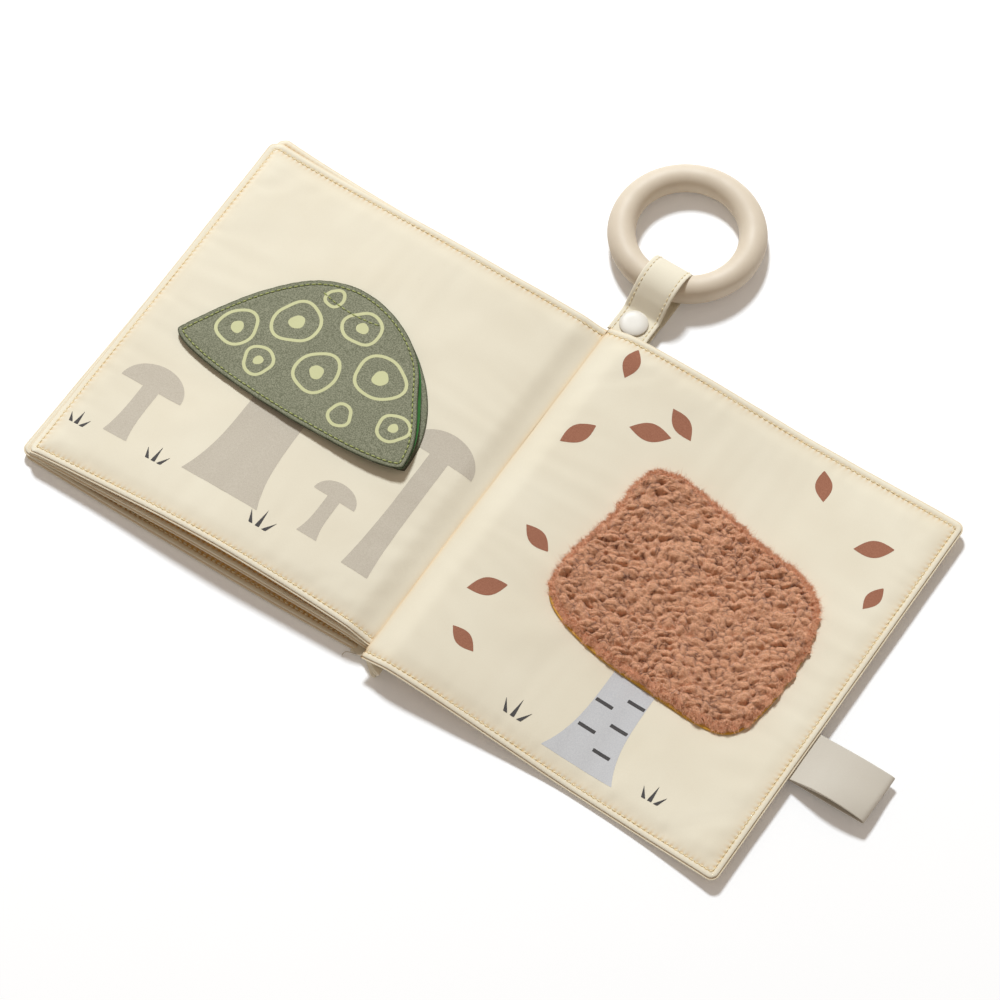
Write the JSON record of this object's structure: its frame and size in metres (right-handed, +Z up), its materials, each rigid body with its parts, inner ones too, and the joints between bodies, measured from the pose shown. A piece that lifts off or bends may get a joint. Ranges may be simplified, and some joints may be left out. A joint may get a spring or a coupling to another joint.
{
  "type": "crinkle book",
  "caption": "Open baby's cloth book with padded crinkle leaves, a green lift-up flap, a brown fleece patch and a teething ring on a snap strap.",
  "frame": {"origin": "on the table under the middle of the gutter, on the flat underside of the spine cloth", "axes": "+X towards the outer edge of the right page, +Y along the spine towards the ring, +Z up from the table"},
  "size_m": [0.3747, 0.2763, 0.0179],
  "materials": {
    "cotton": "matte",
    "film": "gloss",
    "flap_green": "matte",
    "lining_green": "matte",
    "lining_mustard": "matte",
    "fleece": "matte",
    "snap": "satin",
    "silicone": "matte",
    "label": "satin",
    "ink_beige": "matte",
    "ink_grey": "matte",
    "ink_charcoal": "matte",
    "ink_brown": "matte"
  },
  "bodies": {
    "root": {"pages": "cotton", "crinkle_film_pages": "film", "spine_panel": "cotton", "flap_base": "flap_green", "flap_lining": "lining_green", "flap": "flap_green", "print_toadstools": "ink_beige", "print_grass_left": "ink_charcoal", "strap": "cotton", "snap_cap_top": "snap", "snap_socket": "snap", "snap_stud": "snap", "snap_cap_bottom": "snap"},
    "front_cover": {"front_cover": "cotton", "crinkle_film_front": "film"},
    "back_cover": {"back_cover": "cotton", "crinkle_film_back": "film", "patch_lining": "lining_mustard", "patch_fleece": "fleece", "print_trunk": "ink_grey", "print_bark_marks": "ink_charcoal", "print_leaves": "ink_brown", "care_label": "label"},
    "ring": {"ring": "silicone"}
  },
  "joints": [
    {"name": "front_cover_hinge", "type": "hinge", "parent": "root", "child": "front_cover", "pos_m": [-0.0036, 0, 0], "axis": [0, -1, 0], "range_deg": [0, 170]},
    {"name": "back_cover_hinge", "type": "hinge", "parent": "root", "child": "back_cover", "pos_m": [0.0005, 0, 0.0112], "axis": [0, -1, 0], "range_deg": [0, 165]},
    {"name": "ring_swing", "type": "hinge", "parent": "root", "child": "ring", "pos_m": [0.008, 0.1223, 0.0077], "axis": [0.9812, 0.1929, -0.0059], "range_deg": [-15, 100]}
  ]
}
